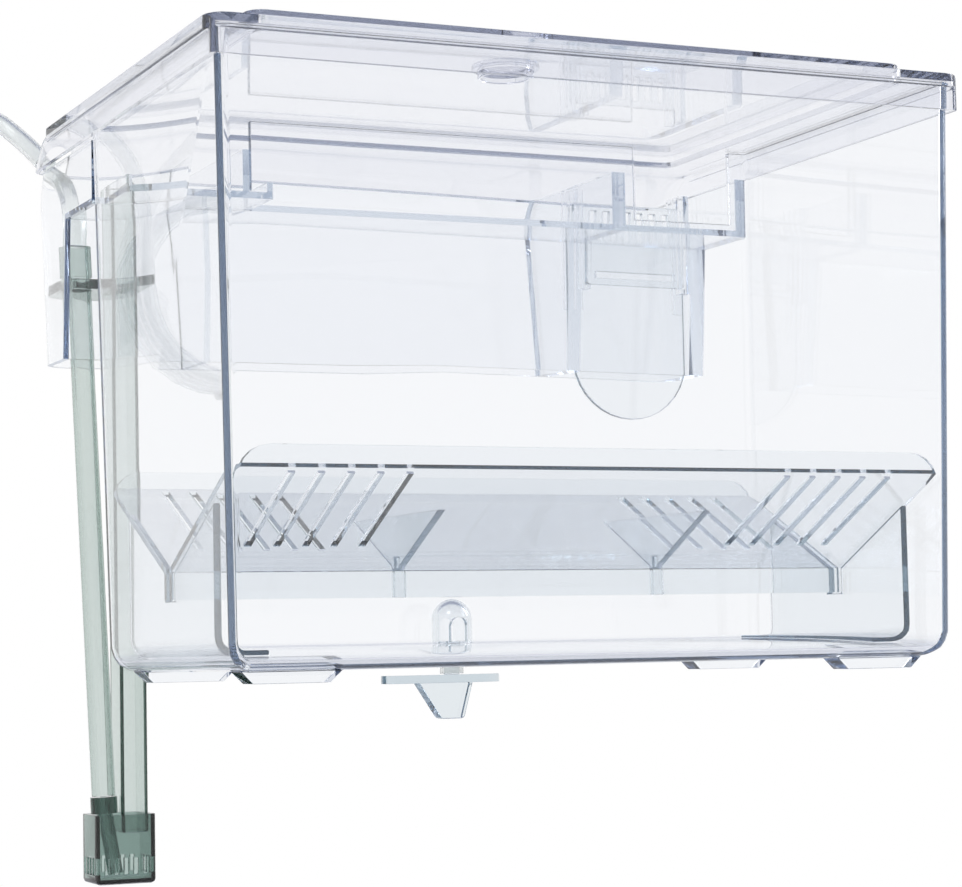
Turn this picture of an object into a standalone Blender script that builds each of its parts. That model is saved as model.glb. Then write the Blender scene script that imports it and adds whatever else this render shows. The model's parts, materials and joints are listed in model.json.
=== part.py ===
"""Fish breeding box that hangs on the rim of an upright wall, by a ledge and a leg.

Built in metres with +Z up. +X runs along the front to the right and the front faces -Y.
The origin is the middle of the flat underside of the rear ledge, which rests on the rim.
"""
from math import asin, atan2, cos, hypot, pi, sin

import bmesh
import bpy
from mathutils import Matrix, Vector

MM = 0.001
DEG = pi / 180

# Clearances and overruns
GAP = 0.3 * MM  # between pieces that touch
SLIDE_GAP = 0.6 * MM  # round pieces that slide past each other
JOIN = 0.6 * MM  # how far shapes fused into one piece reach into each other
OVERRUN = 6 * MM  # how far a cut runs past what it cuts
TOUCH = 0.1 * MM  # points this close to a face count as on it
WELD = 0.01 * MM  # points this close to each other are made one

# Box: a drafted tub, open at the top
BOX_WIDTH = 216 * MM  # outside, at the base
BOX_DEPTH = 111 * MM
BOX_HEIGHT = 165.1 * MM
BOX_WALL = 2.2 * MM
BOX_FLOOR = 2.4 * MM
BOX_DRAFT = 0.0204  # how much each wall leans out for each unit of height
BOX_FILLET = 7 * MM
BOX_CORNER = 3 * MM
RIM_DROP = 27.4 * MM  # from the box's top to the underside of the ledge

# Feet under the box
FOOT_LENGTH = 28 * MM
FOOT_DEPTH = 8 * MM
FOOT_HEIGHT = 3.2 * MM
FOOT_INSET = 5 * MM
FOOT_BEVEL = 3.4 * MM

# Hanger: a ledge that rests on the rim and a hollow leg behind it
SLOT_DEPTH = 29.2 * MM  # between the box and the leg, for the wall that carries them
HANGER_WALL = 2 * MM
LEG_DROP = 42.4 * MM
LEG_LEAN = 3.5 * MM  # how far the leg's front wall leans back at its foot
LEG_FOOT_DEPTH = 26 * MM
LEG_DEPTH = 36.4 * MM
LEG_SHOULDER = 4.3 * MM  # height above the ledge's underside where the leg starts to taper
LEG_SHOULDER_SETBACK = 0.5 * MM
BACK_RADIUS = 22 * MM  # the round back that the hanger and the lid share
BACK_CORNER = 8 * MM  # of the hanger and the lid, seen from above

# Inlet channel, at the left end of the hanger
INLET_WIDTH = 44 * MM
INLET_REACH = 22.4 * MM  # how far its floor reaches into the box
INLET_LIP = 3 * MM
INLET_WALL = 1.8 * MM

# Outlet bay, at the right end of the hanger
OUTLET_WIDTH = 40.6 * MM  # between its side walls
OUTLET_WALL = 4.7 * MM  # its side walls
OUTLET_NOTCH = 35 * MM
WEIR_HEIGHT = 3.6 * MM  # of the outlet notch above the ledge's underside
RAIL_DEPTH = 1.4 * MM
RAIL_REACH = 3.4 * MM
RAIL_WEB = 1.9 * MM

# Grid across the outlet
GRID_SETBACK = 4.4 * MM  # from the leg's front face
GRID_THICKNESS = 2 * MM
GRID_HEIGHT = 27.5 * MM
GRID_FOOT = -13 * MM  # its lower edge, from the ledge's underside
GRID_SLOT = 2.2 * MM
GRID_COMB_COUNT = 6
GRID_COMB_WIDTH = 2.4 * MM
GRID_COMB_HEIGHT = 8.5 * MM
GRID_BORDER = 2.3 * MM
GRID_CORNER = 1.15 * MM

# Tongue that leads the outflow down
TONGUE_THICKNESS = 2 * MM
TONGUE_TOP = 4.2 * MM
TONGUE_SHOULDER = -43 * MM
TONGUE_FOOT = -57.7 * MM

# Lid: a flat cover with a skirt, a raised panel and a round back over the hanger
LID_WALL = 2 * MM
LID_SKIRT_WALL = 1.6 * MM
LID_SKIRT_DEPTH = 10.4 * MM
LID_OVERHANG = 2 * MM  # of the skirt past the box's wall
LID_EDGE_BEVEL = 1.6 * MM
BEAD_HEIGHT = 4 * MM
BEAD_REACH = 1.1 * MM
BEAD_RADIUS = 6 * MM
BEAD_BEVEL = 0.55 * MM
PANEL_RISE = 3.8 * MM
PANEL_SIDE_INSET = 13 * MM
PANEL_FRONT_INSET = 8 * MM
PANEL_REAR_INSET = 34 * MM
PANEL_RADIUS = 5 * MM
PANEL_EDGE = 1.4 * MM

# Feeding hole in the lid, and its cap
FEED_RADIUS = 8.2 * MM
FEED_X = -9 * MM
FEED_SETBACK = 49 * MM  # from the lid's front
CAP_FLANGE = 1.4 * MM
CAP_FLANGE_REACH = 1.6 * MM
CAP_WALL = 1.2 * MM
CAP_DROP = 4 * MM

# Trough: two sloping panels that leave a slot between them, on two end plates
TROUGH_WALL = 1.8 * MM
TROUGH_RIM_HEIGHT = 58 * MM  # above the box's base
TROUGH_RIM = 6 * MM
TROUGH_FALL = 25 * MM
TROUGH_LIP = 7.5 * MM
TROUGH_SLOT = 3 * MM
TROUGH_CORNER = 9 * MM
SLIT_WIDTH = 2 * MM
SLIT_PITCH = 8.25 * MM
SLIT_COUNT = 5
SLIT_FIRST = 57.2 * MM  # from the middle of the box to the innermost slit
SLIT_START_SHARE = 0.05
SLIT_END_SHARE = 0.75

# End plates that carry the trough
END_WALL = 2 * MM
END_WIDTH = 76 * MM
END_INSET = 0.7 * MM  # from the box's wall at the floor
END_BEND = 6.8 * MM
END_FOOT = 13 * MM

# Dividers across the trough
DIVIDER_THICKNESS = 2.2 * MM
DIVIDER_TOP = 43.5 * MM  # above the box's base
DIVIDER_KEEL = 3.5 * MM
DIVIDER_PLACES = (-40 * MM, 42 * MM)

# Lift tube, a flat pipe
TUBE_WIDTH = 8.5 * MM
TUBE_DEPTH = 12.3 * MM
TUBE_WALL = 1.1 * MM
TUBE_SIDE_SETBACK = 22.1 * MM  # of its axis from the hanger's left side
TUBE_FRONT_SETBACK = 12.2 * MM  # of its axis from the leg's front face
TUBE_TOP_DROP = 6 * MM  # below the top of the hanger's walls
TUBE_LENGTH = 200 * MM
TUBE_WINDOW = 8.5 * MM

# Air pipe beside it, which leans toward it
PIPE_RADIUS = 3.6 * MM
PIPE_BORE = 2.5 * MM
PIPE_SIDE_SETBACK = 6.2 * MM  # of its top from the hanger's left side
PIPE_FRONT_SETBACK = 9.9 * MM  # of its axis from the leg's front face
PIPE_TOP_DROP = 26 * MM  # below the top of the hanger's walls
PIPE_FOOT_RISE = 11.5 * MM  # above the lift tube's foot
PIPE_LEAN = 7 * MM
PIPE_COLLAR = 9.5 * MM
PIPE_COLLAR_WALL = 0.5 * MM

# Air nozzle: a sleeve round the pipe's foot and a thin tip that slants into the cup
NOZZLE_RADIUS = 4.1 * MM
NOZZLE_HEIGHT = 5 * MM
TIP_RADIUS = 2.3 * MM
TIP_BORE = 1.15 * MM
TIP_DROP = 12 * MM  # below the lift tube's foot
TIP_LEAN = 3.4 * MM

# Clip that holds both pipes in the leg
CLIP_HEIGHT = 3 * MM
CLIP_TOP = -17.5 * MM
CLIP_WIDTH = 29 * MM

# Strainer cup round the feet of both pipes
CUP_WALL = 1.5 * MM
CUP_REACH = 12.9 * MM  # from the lift tube's axis to its left side
CUP_HEIGHT = 21 * MM
CUP_DROP = 15.2 * MM  # below the lift tube's foot
CUP_FILLET = 1.4 * MM
CUP_SLIT_WIDTH = 1.4 * MM
CUP_SLIT_HEIGHT = 5 * MM
CUP_SLIT_RISE = 3 * MM
CUP_SLIT_PITCH = 3 * MM
CUP_SLIT_COUNT = 5

# Air line: an elbow through the hanger's back, a free stretch and a coil
LINE_RADIUS = 3 * MM
ROUTE_STEPS = 3  # made between each two points of a route
NOTCH_RADIUS = 4 * MM
ELBOW_RISE = (  # from the top of the air pipe
    (0.2 * MM, 0.1 * MM, 7 * MM),
    (0.1 * MM, 3 * MM, 15 * MM))
ELBOW_WAY = (  # from the notch in the hanger's back
    (0, -17 * MM, -4.8 * MM),
    (0, -8.5 * MM, -1.2 * MM),
    (-0.3 * MM, -1.5 * MM, 1.5 * MM),
    (-2 * MM, 3.2 * MM, 5.3 * MM))
LINE_WAY = (  # from the same notch
    (-2.09 * MM, 3.44 * MM, 5.49 * MM),
    (-3.8 * MM, 7.8 * MM, 9.4 * MM),
    (-8.4 * MM, 14 * MM, 16 * MM),
    (-14.9 * MM, 18 * MM, 21.8 * MM),
    (-23.9 * MM, 20.5 * MM, 24 * MM),
    (-33.9 * MM, 22 * MM, 21.5 * MM),
    (-42.4 * MM, 23 * MM, 14 * MM),
    (-47.9 * MM, 23 * MM, 2.5 * MM),
    (-49.4 * MM, 23 * MM, -11 * MM),
    (-49.4 * MM, 23 * MM, -25.7 * MM))
COIL_LEAD = 6 * MM
COIL_TURNS = 4
COIL_RADIUS = 32 * MM
COIL_PITCH = 6.7 * MM
COIL_POINTS = 24  # each turn
COIL_TAIL = 20 * MM
TIE_WIDTH = 4 * MM
TIE_WALL = 1 * MM

# Drain: a keyed plug from below, its seal and a dome inside the box
DRAIN_X = -5.6 * MM
DRAIN_SETBACK = 14 * MM  # from the box's back at the base
STEM_RADIUS = 2.3 * MM
SEAL_RADIUS = 3.6 * MM
SEAL_HEIGHT = 2.3 * MM
WING_LENGTH = 37.4 * MM
WING_DEPTH = 11 * MM
WING_HEIGHT = 2.4 * MM
WING_SHIFT = -3.7 * MM
WING_END = 5 * MM
GRIP_TOP = 18.2 * MM
GRIP_FOOT = 7.5 * MM
GRIP_HEIGHT = 10.8 * MM
GRIP_DEPTH = 5.5 * MM
GRIP_SHIFT = -3 * MM
GRIP_FOOT_SHIFT = -0.8 * MM
GRIP_BEVEL = 0.9 * MM
KEY_LENGTH = 8 * MM
KEY_WIDTH = 2.4 * MM
KEY_HEIGHT = 2 * MM
DOME_RADIUS = 6 * MM
DOME_WALL = 1.3 * MM
DOME_HEIGHT = 17 * MM
DOME_ARCH = 5.2 * MM
DOME_ARCH_RISE = 9 * MM

# Derived places
RIM_HEIGHT = BOX_HEIGHT - RIM_DROP  # of the ledge's underside above the box's base
BASE_Z = -RIM_HEIGHT
TOP_Z = RIM_DROP
LID_TOP = TOP_Z + GAP + LID_WALL
LID_FOOT = LID_TOP - LID_SKIRT_DEPTH
BACK_CENTRE = LID_TOP - BACK_RADIUS
HANGER_RISE = LID_FOOT - GAP  # the top of the hanger's walls
SLOT_FRONT = -SLOT_DEPTH / 2  # the hanger's front faces, against the box
SLOT_BACK = SLOT_DEPTH / 2  # the leg's front face
BACK_Y = SLOT_FRONT - GAP - BOX_DRAFT * (RIM_HEIGHT + HANGER_RISE)  # the box's back at its base
FRONT_Y = BACK_Y - BOX_DEPTH
LEG_REAR = SLOT_BACK + LEG_DEPTH
BACK_CENTRE_Y = LEG_REAR - BACK_RADIUS
FLOOR_Z = BASE_Z + BOX_FLOOR
HANGER_HALF = BOX_WIDTH / 2 + BOX_DRAFT * RIM_HEIGHT  # level with the box's sides at the ledge
INLET_RIGHT = -BOX_WIDTH / 2 + INLET_WIDTH
OUTLET_CENTRE = HANGER_HALF - OUTLET_WALL - OUTLET_WIDTH / 2
OUTLET_LEFT = OUTLET_CENTRE - OUTLET_WIDTH / 2
OUTLET_RIGHT = OUTLET_CENTRE + OUTLET_WIDTH / 2
DRAIN_Y = BACK_Y - DRAIN_SETBACK
TUBE_X = TUBE_SIDE_SETBACK - HANGER_HALF
TUBE_Y = SLOT_BACK + TUBE_FRONT_SETBACK
TUBE_TOP = HANGER_RISE - TUBE_TOP_DROP
TUBE_FOOT = TUBE_TOP - TUBE_LENGTH
PIPE_Y = SLOT_BACK + PIPE_FRONT_SETBACK
PIPE_TOP = Vector((PIPE_SIDE_SETBACK - HANGER_HALF, PIPE_Y, HANGER_RISE - PIPE_TOP_DROP))
PIPE_FOOT = Vector((PIPE_TOP.x + PIPE_LEAN, PIPE_Y, TUBE_FOOT + PIPE_FOOT_RISE))
TIP_END = Vector((PIPE_FOOT.x + TIP_LEAN, PIPE_Y, TUBE_FOOT - TIP_DROP))
CUP_LEFT = TUBE_X - CUP_REACH
CUP_FOOT = TUBE_FOOT - CUP_DROP
NOTCH = Vector((PIPE_TOP.x, LEG_REAR, HANGER_RISE))  # where the elbow passes the hanger's back
ELBOW_POINTS = [PIPE_TOP + Vector(step) for step in ELBOW_RISE] + [NOTCH + Vector(step) for step in ELBOW_WAY]
LINE_POINTS = [NOTCH + Vector(step) for step in LINE_WAY]


def box_half(z):
    """Half the box's outside width at a height."""
    return BOX_WIDTH / 2 + BOX_DRAFT * (z - BASE_Z)


def box_front(z):
    return FRONT_Y - BOX_DRAFT * (z - BASE_Z)


def box_back(z):
    return BACK_Y + BOX_DRAFT * (z - BASE_Z)


# Scene helpers
for old in list(bpy.data.objects):
    bpy.data.objects.remove(old, do_unlink=True)
PARTS = bpy.data.collections.new("fish_breeding_box")
CUTTERS = bpy.data.collections.new("cutters")
bpy.context.scene.collection.children.link(PARTS)
bpy.context.scene.collection.children.link(CUTTERS)


def material(name, colour, roughness=0.1, metallic=0.0):
    """A Principled material in one colour."""
    made = bpy.data.materials.new(name)
    made.use_nodes = True
    shader = made.node_tree.nodes["Principled BSDF"]
    shader.inputs["Base Color"].default_value = (*colour, 1)
    shader.inputs["Roughness"].default_value = roughness
    shader.inputs["Metallic"].default_value = metallic
    return made


CLEAR = (0.80, 0.84, 0.90)
SMOKE = (0.22, 0.36, 0.33)
PALE_GREEN = (0.62, 0.72, 0.70)
SILICONE = (0.86, 0.88, 0.88)


def as_part(thing, colour, roughness=0.1):
    """Makes an object one of the model's nodes."""
    thing.data.materials.clear()
    thing.data.materials.append(material(thing.name + "_plastic", colour, roughness))
    CUTTERS.objects.unlink(thing)
    PARTS.objects.link(thing)
    thing.hide_render = False
    thing.display_type = "TEXTURED"
    return thing


def link_tool(name, mesh):
    """A mesh object that stays a cutter until it is made a part."""
    thing = bpy.data.objects.new(name, mesh)
    CUTTERS.objects.link(thing)
    thing.hide_render = True
    thing.display_type = "WIRE"
    return thing


def face_outward(bm):
    """Turns every face outward, on long and hollow shapes too."""
    bmesh.ops.recalc_face_normals(bm, faces=bm.faces)
    if bm.calc_volume(signed=True) < 0:
        bmesh.ops.reverse_faces(bm, faces=bm.faces)


def finish_mesh(name, bm):
    face_outward(bm)
    mesh = bpy.data.meshes.new(name)
    bm.to_mesh(mesh)
    bm.free()
    return link_tool(name, mesh)


def block(name, low, high):
    """A box between two corners."""
    bm = bmesh.new()
    bmesh.ops.create_cube(bm, size=1)
    size = [high[i] - low[i] for i in range(3)]
    middle = [(high[i] + low[i]) / 2 for i in range(3)]
    bmesh.ops.scale(bm, vec=size, verts=bm.verts)
    bmesh.ops.translate(bm, vec=middle, verts=bm.verts)
    return finish_mesh(name, bm)


def rod(name, start, end, radius, sides=24):
    """A cylinder from one point to another."""
    start, end = Vector(start), Vector(end)
    along = end - start
    bm = bmesh.new()
    bmesh.ops.create_cone(
        bm, cap_ends=True, segments=sides, radius1=radius, radius2=radius, depth=along.length)
    turn = along.to_track_quat("Z", "Y").to_matrix().to_4x4()
    bmesh.ops.transform(bm, matrix=Matrix.Translation((start + end) / 2) @ turn, verts=bm.verts)
    return finish_mesh(name, bm)


def curve_to_mesh(curve_object):
    """Swaps a curve object for a mesh with its caps welded on."""
    bpy.context.view_layer.update()
    graph = bpy.context.evaluated_depsgraph_get()
    mesh = bpy.data.meshes.new_from_object(curve_object.evaluated_get(graph))
    bm = bmesh.new()
    bm.from_mesh(mesh)
    bmesh.ops.remove_doubles(bm, verts=bm.verts, dist=WELD)
    bm.transform(curve_object.matrix_world)
    name, data = curve_object.name, curve_object.data
    bpy.data.objects.remove(curve_object)
    bpy.data.curves.remove(data)
    bpy.data.meshes.remove(mesh)
    return finish_mesh(name, bm)


AXES = {
    "X": Matrix(((0, 0, 1, 0), (1, 0, 0, 0), (0, 1, 0, 0), (0, 0, 0, 1))),
    "Y": Matrix(((1, 0, 0, 0), (0, 0, -1, 0), (0, 1, 0, 0), (0, 0, 0, 1))),
    "Z": Matrix.Identity(4),
}


def slab(name, outline, axis, low, high):
    """A flat outline pulled along an axis: (y, z) along X, (x, z) along Y or (x, y) along Z."""
    curve = bpy.data.curves.new(name, "CURVE")
    curve.dimensions = "2D"
    curve.fill_mode = "BOTH"
    curve.extrude = (high - low) / 2
    spline = curve.splines.new("POLY")
    spline.points.add(len(outline) - 1)
    for point, (u, v) in zip(spline.points, outline):
        point.co = (u, v, 0, 1)
    spline.use_cyclic_u = True
    thing = bpy.data.objects.new(name, curve)
    CUTTERS.objects.link(thing)
    middle = (high + low) / 2
    thing.matrix_world = Matrix.Translation(Vector((0, 0, 0)) + {
        "X": Vector((middle, 0, 0)), "Y": Vector((0, middle, 0)), "Z": Vector((0, 0, middle))}[axis]
    ) @ AXES[axis]
    return curve_to_mesh(thing)


def tube(name, points, radius, resolution=2):
    """A round tube along points, with filled caps."""
    curve = bpy.data.curves.new(name, "CURVE")
    curve.dimensions = "3D"
    curve.bevel_depth = radius
    curve.bevel_resolution = resolution
    curve.use_fill_caps = True
    spline = curve.splines.new("POLY")
    spline.points.add(len(points) - 1)
    for point, place in zip(spline.points, points):
        point.co = (*place, 1)
    thing = bpy.data.objects.new(name, curve)
    CUTTERS.objects.link(thing)
    return curve_to_mesh(thing)


def turned(name, profile, centre, steps=32):
    """A profile of (radius, height) turned round a vertical axis."""
    mesh = bpy.data.meshes.new(name)
    count = len(profile)
    rim = [(i, (i + 1) % count) for i in range(count)]
    mesh.from_pydata([(r, 0, z) for r, z in profile], rim, [])
    thing = link_tool(name, mesh)
    screw = thing.modifiers.new("turn", "SCREW")
    screw.steps = steps
    screw.render_steps = steps
    screw.use_merge_vertices = True
    screw.merge_threshold = WELD
    screw.use_normal_calculate = True
    return bake(thing, Matrix.Translation(centre))


def bake(thing, place=Matrix.Identity(4)):
    """Applies an object's modifiers and moves its mesh to a place."""
    bpy.context.view_layer.update()
    graph = bpy.context.evaluated_depsgraph_get()
    mesh = bpy.data.meshes.new_from_object(thing.evaluated_get(graph))
    bm = bmesh.new()
    bm.from_mesh(mesh)
    loose = [edge for edge in bm.edges if not edge.link_faces]
    bmesh.ops.delete(bm, geom=loose, context="EDGES")
    bm.transform(place @ thing.matrix_world)
    face_outward(bm)
    thing.modifiers.clear()
    bm.to_mesh(mesh)
    bm.free()
    thing.data = mesh
    thing.matrix_world = Matrix.Identity(4)
    return thing


def bevel(thing, width, segments=2, angle=35 * DEG):
    rounding = thing.modifiers.new("rounding", "BEVEL")
    rounding.width = width
    rounding.segments = segments
    rounding.limit_method = "ANGLE"
    rounding.angle_limit = angle
    return thing


def combine(thing, tools, operation):
    for tool in tools:
        change = thing.modifiers.new(operation.lower(), "BOOLEAN")
        change.object = tool
        change.operation = operation
        change.solver = "EXACT"
    return thing


def cut(thing, *tools):
    return combine(thing, tools, "DIFFERENCE")


def fuse(thing, *tools):
    return combine(thing, tools, "UNION")


def arc(centre, radius, start, end, steps):
    """Points on a circle between two angles."""
    angles = [start + (end - start) * i / steps for i in range(steps + 1)]
    return [(centre[0] + radius * cos(a), centre[1] + radius * sin(a)) for a in angles]


def rounded(low, high, radius, steps=4):
    """A rectangle with round corners."""
    corners = ((high[0] - radius, low[1] + radius), (high[0] - radius, high[1] - radius),
               (low[0] + radius, high[1] - radius), (low[0] + radius, low[1] + radius))
    points = []
    for turn, corner in enumerate(corners):
        start = (turn - 1) * pi / 2
        points += arc(corner, radius, start, start + pi / 2, steps)
    return points


# Box
def drafted_block(name, half, front, back, low, high, fillet, corner):
    """A block whose sides lean out, with its lower and upright edges rounded."""
    bm = bmesh.new()
    bmesh.ops.create_cube(bm, size=2)
    spread = BOX_DRAFT * (high - low)
    for vert in bm.verts:
        out = spread if vert.co.z > 0 else 0
        x, y = vert.co.x, vert.co.y
        vert.co.x = x * (half + out)
        vert.co.y = back + out if y > 0 else front - out
        vert.co.z = high if vert.co.z > 0 else low
    weights = bm.edges.layers.float.new("bevel_weight_edge")
    for edge in bm.edges:
        heights = [vert.co.z for vert in edge.verts]
        if max(heights) < high - OVERRUN:
            edge[weights] = 1
        elif min(heights) < high - OVERRUN:
            edge[weights] = corner / fillet
    thing = finish_mesh(name, bm)
    rounding = thing.modifiers.new("rounding", "BEVEL")
    rounding.width = fillet
    rounding.segments = 4
    rounding.limit_method = "WEIGHT"
    return bake(thing)


def foot(index, x, y):
    """A bar under the floor with slanted ends."""
    half = FOOT_LENGTH / 2
    outline = [(x - half, BASE_Z + JOIN), (x - half, BASE_Z), (x - half + FOOT_BEVEL, BASE_Z - FOOT_HEIGHT),
               (x + half - FOOT_BEVEL, BASE_Z - FOOT_HEIGHT), (x + half, BASE_Z), (x + half, BASE_Z + JOIN)]
    return slab(f"foot_{index}", outline, "Y", y - FOOT_DEPTH / 2, y + FOOT_DEPTH / 2)


def make_box():
    box = drafted_block(
        "box_body", BOX_WIDTH / 2, FRONT_Y, BACK_Y, BASE_Z, TOP_Z, BOX_FILLET, BOX_CORNER)
    low, high = FLOOR_Z, TOP_Z + OVERRUN
    inside = drafted_block(
        "box_inside", box_half(low) - BOX_WALL, box_front(low) + BOX_WALL, box_back(low) - BOX_WALL,
        low, high, BOX_FILLET - BOX_WALL, BOX_CORNER - BOX_WALL)
    x = BOX_WIDTH / 2 - FOOT_INSET - FOOT_LENGTH / 2
    y = FOOT_INSET + BOX_FILLET / 2 + FOOT_DEPTH / 2
    feet = [foot(i, *place) for i, place in enumerate(
        (side * x, row) for side in (-1, 1) for row in (FRONT_Y + y, BACK_Y - y))]
    wall_front = BACK_Y - OVERRUN
    wall_back = SLOT_FRONT + OVERRUN
    inlet = block("inlet_notch", (-BOX_WIDTH / 2 + GAP, wall_front, -GAP),
                  (INLET_RIGHT + INLET_WALL, wall_back, TOP_Z + OVERRUN))
    outlet = block("outlet_notch", (OUTLET_CENTRE - OUTLET_NOTCH / 2, wall_front, WEIR_HEIGHT),
                   (OUTLET_CENTRE + OUTLET_NOTCH / 2, wall_back, TOP_Z + OVERRUN))
    hole = rod("drain_hole", (DRAIN_X, DRAIN_Y, BASE_Z - OVERRUN), (DRAIN_X, DRAIN_Y, FLOOR_Z + OVERRUN),
               STEM_RADIUS + GAP)
    slack = GAP + KEY_WIDTH / 2
    reach = KEY_LENGTH / 2 + GAP
    key = block("drain_keyway", (DRAIN_X - slack, DRAIN_Y - reach, BASE_Z - OVERRUN),
                (DRAIN_X + slack, DRAIN_Y + reach, FLOOR_Z + OVERRUN))
    cut(box, inside)
    fuse(box, *feet)
    cut(box, inlet, outlet, hole, key)
    return as_part(box, CLEAR)


# Hanger
def round_back_ends(thing, radius, ends, crest_share=0):
    """Rounds the ends of a back's outer side, less and less over its crest."""
    bm = bmesh.new()
    bm.from_mesh(thing.data)
    bmesh.ops.dissolve_limit(bm, angle_limit=DEG, verts=bm.verts, edges=bm.edges)
    weights = bm.edges.layers.float.new("bevel_weight_edge")
    places = [vert.co.x for vert in bm.verts]
    limits = [min(places) if end < 0 else max(places) for end in ends]
    lowest = min(vert.co.z for vert in bm.verts)
    for edge in bm.edges:
        middle = (edge.verts[0].co + edge.verts[1].co) / 2
        if min(abs(middle.x - limit) for limit in limits) > TOUCH or middle.z < lowest + TOUCH:
            continue
        if middle.y < BACK_CENTRE_Y:
            edge[weights] = crest_share
            continue
        climb = max(0, atan2(middle.z - BACK_CENTRE, middle.y - BACK_CENTRE_Y)) / (pi / 2)
        edge[weights] = 1 - (1 - crest_share) * climb * climb
    bm.to_mesh(thing.data)
    bm.free()
    rounding = thing.modifiers.new("rounding", "BEVEL")
    rounding.width = radius
    rounding.segments = 4
    rounding.limit_method = "WEIGHT"
    return bake(thing)


def back_angle(height, radius):
    """Where the round back reaches a height, as an angle at its centre."""
    return asin((height - BACK_CENTRE) / radius)


def hanger_profile():
    """The hanger from the side, as (y, z)."""
    crest = back_angle(HANGER_RISE, BACK_RADIUS)
    round_back = arc((BACK_CENTRE_Y, BACK_CENTRE), BACK_RADIUS, 0, crest, 5)
    return [(SLOT_FRONT, HANGER_RISE), (SLOT_FRONT, 0), (SLOT_BACK, 0), (SLOT_BACK + LEG_LEAN, -LEG_DROP),
            (SLOT_BACK + LEG_LEAN + LEG_FOOT_DEPTH, -LEG_DROP),
            (LEG_REAR - LEG_SHOULDER_SETBACK, LEG_SHOULDER), *round_back]


def bay_profile():
    """The hollow inside the hanger from the side."""
    radius = BACK_RADIUS - HANGER_WALL
    top = HANGER_RISE + OVERRUN
    round_back = arc((BACK_CENTRE_Y, BACK_CENTRE), radius, 0, back_angle(HANGER_RISE, radius), 5)
    foot_front = SLOT_BACK + LEG_LEAN + HANGER_WALL
    foot_back = SLOT_BACK + LEG_LEAN + LEG_FOOT_DEPTH - HANGER_WALL
    low = -LEG_DROP - OVERRUN
    return [(SLOT_FRONT - OVERRUN, top), (SLOT_FRONT - OVERRUN, HANGER_WALL),
            (SLOT_BACK + HANGER_WALL, HANGER_WALL), (foot_front, JOIN - LEG_DROP), (foot_front, low),
            (foot_back, low), (foot_back, JOIN - LEG_DROP), (LEG_REAR - HANGER_WALL, LEG_SHOULDER),
            *round_back, (round_back[-1][0], top)]


def inlet_spout():
    """The inlet's floor, its low side walls and its lip, inside the box."""
    left = -BOX_WIDTH / 2 + 2 * GAP + BOX_WALL
    right = INLET_RIGHT + INLET_WALL - GAP
    front = SLOT_FRONT - INLET_REACH
    floor = block("inlet_floor", (left, front, 0), (right, SLOT_FRONT + JOIN, HANGER_WALL))
    top = HANGER_WALL + INLET_LIP
    rear = SLOT_FRONT + JOIN
    walls = [block("inlet_wall_left", (left, front, JOIN), (left + INLET_WALL, rear, top)),
             block("inlet_wall_right", (right - INLET_WALL, front, JOIN), (right, rear, top))]
    fuse(floor, *walls)
    return bake(floor)


def rail(index, side, y):
    """A grooved rail on one wall of the outlet bay that the grid slides in."""
    wall = OUTLET_CENTRE + side * OUTLET_WIDTH / 2
    inner = wall - side * RAIL_REACH
    web = wall - side * RAIL_WEB
    low, high = GRID_FOOT - GAP - RAIL_DEPTH, HANGER_RISE - GAP
    half = GRID_THICKNESS / 2 + GAP
    outer = [sorted((wall + side * JOIN, inner)), (y - half - RAIL_DEPTH, y + half + RAIL_DEPTH), (low, high)]
    body = block(f"rail_{index}", *zip(*outer))
    groove = [sorted((web, inner - side * OVERRUN)), (y - half, y + half), (low + RAIL_DEPTH, high + OVERRUN)]
    cut(body, block(f"groove_{index}", *zip(*groove)))
    return bake(body)


GRID_Y = SLOT_BACK + GRID_SETBACK
TONGUE_Y = GRID_Y + GRID_THICKNESS / 2 + GAP + RAIL_DEPTH + GAP + TONGUE_THICKNESS / 2


def tongue_rib(index, side):
    """A rib behind the tongue that keeps it against the rails."""
    wall = OUTLET_CENTRE + side * OUTLET_WIDTH / 2
    reach = sorted((wall + side * JOIN, wall - side * RAIL_REACH))
    y = TONGUE_Y + TONGUE_THICKNESS / 2 + GAP
    return block(f"rib_{index}", (reach[0], y, -LEG_DROP / 2), (reach[1], y + RAIL_DEPTH, HANGER_RISE - GAP))


def make_hanger():
    hanger = slab("rear_hanger", hanger_profile(), "X", -HANGER_HALF, HANGER_HALF)
    round_back_ends(hanger, BACK_CORNER, (-1, 1))
    wall = HANGER_WALL
    bays = ((-HANGER_HALF + wall, INLET_RIGHT), (INLET_RIGHT + wall, OUTLET_LEFT - OUTLET_WALL),
            (OUTLET_LEFT, OUTLET_RIGHT))
    hollows = [slab(f"bay_{i}", bay_profile(), "X", *bay) for i, bay in enumerate(bays)]
    round_back_ends(hollows[0], BACK_CORNER - wall, (-1,))
    cut(hanger, *hollows)
    rails = [rail(i, side, GRID_Y) for i, side in enumerate((-1, 1))]
    ribs = [tongue_rib(i, side) for i, side in enumerate((-1, 1))]
    fuse(hanger, inlet_spout(), *rails, *ribs)
    notch = rod("hanger_notch", (NOTCH.x, BACK_CENTRE_Y, NOTCH.z),
                (NOTCH.x, NOTCH.y + OVERRUN, NOTCH.z), NOTCH_RADIUS)
    cut(hanger, notch)
    return as_part(hanger, CLEAR)


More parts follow.
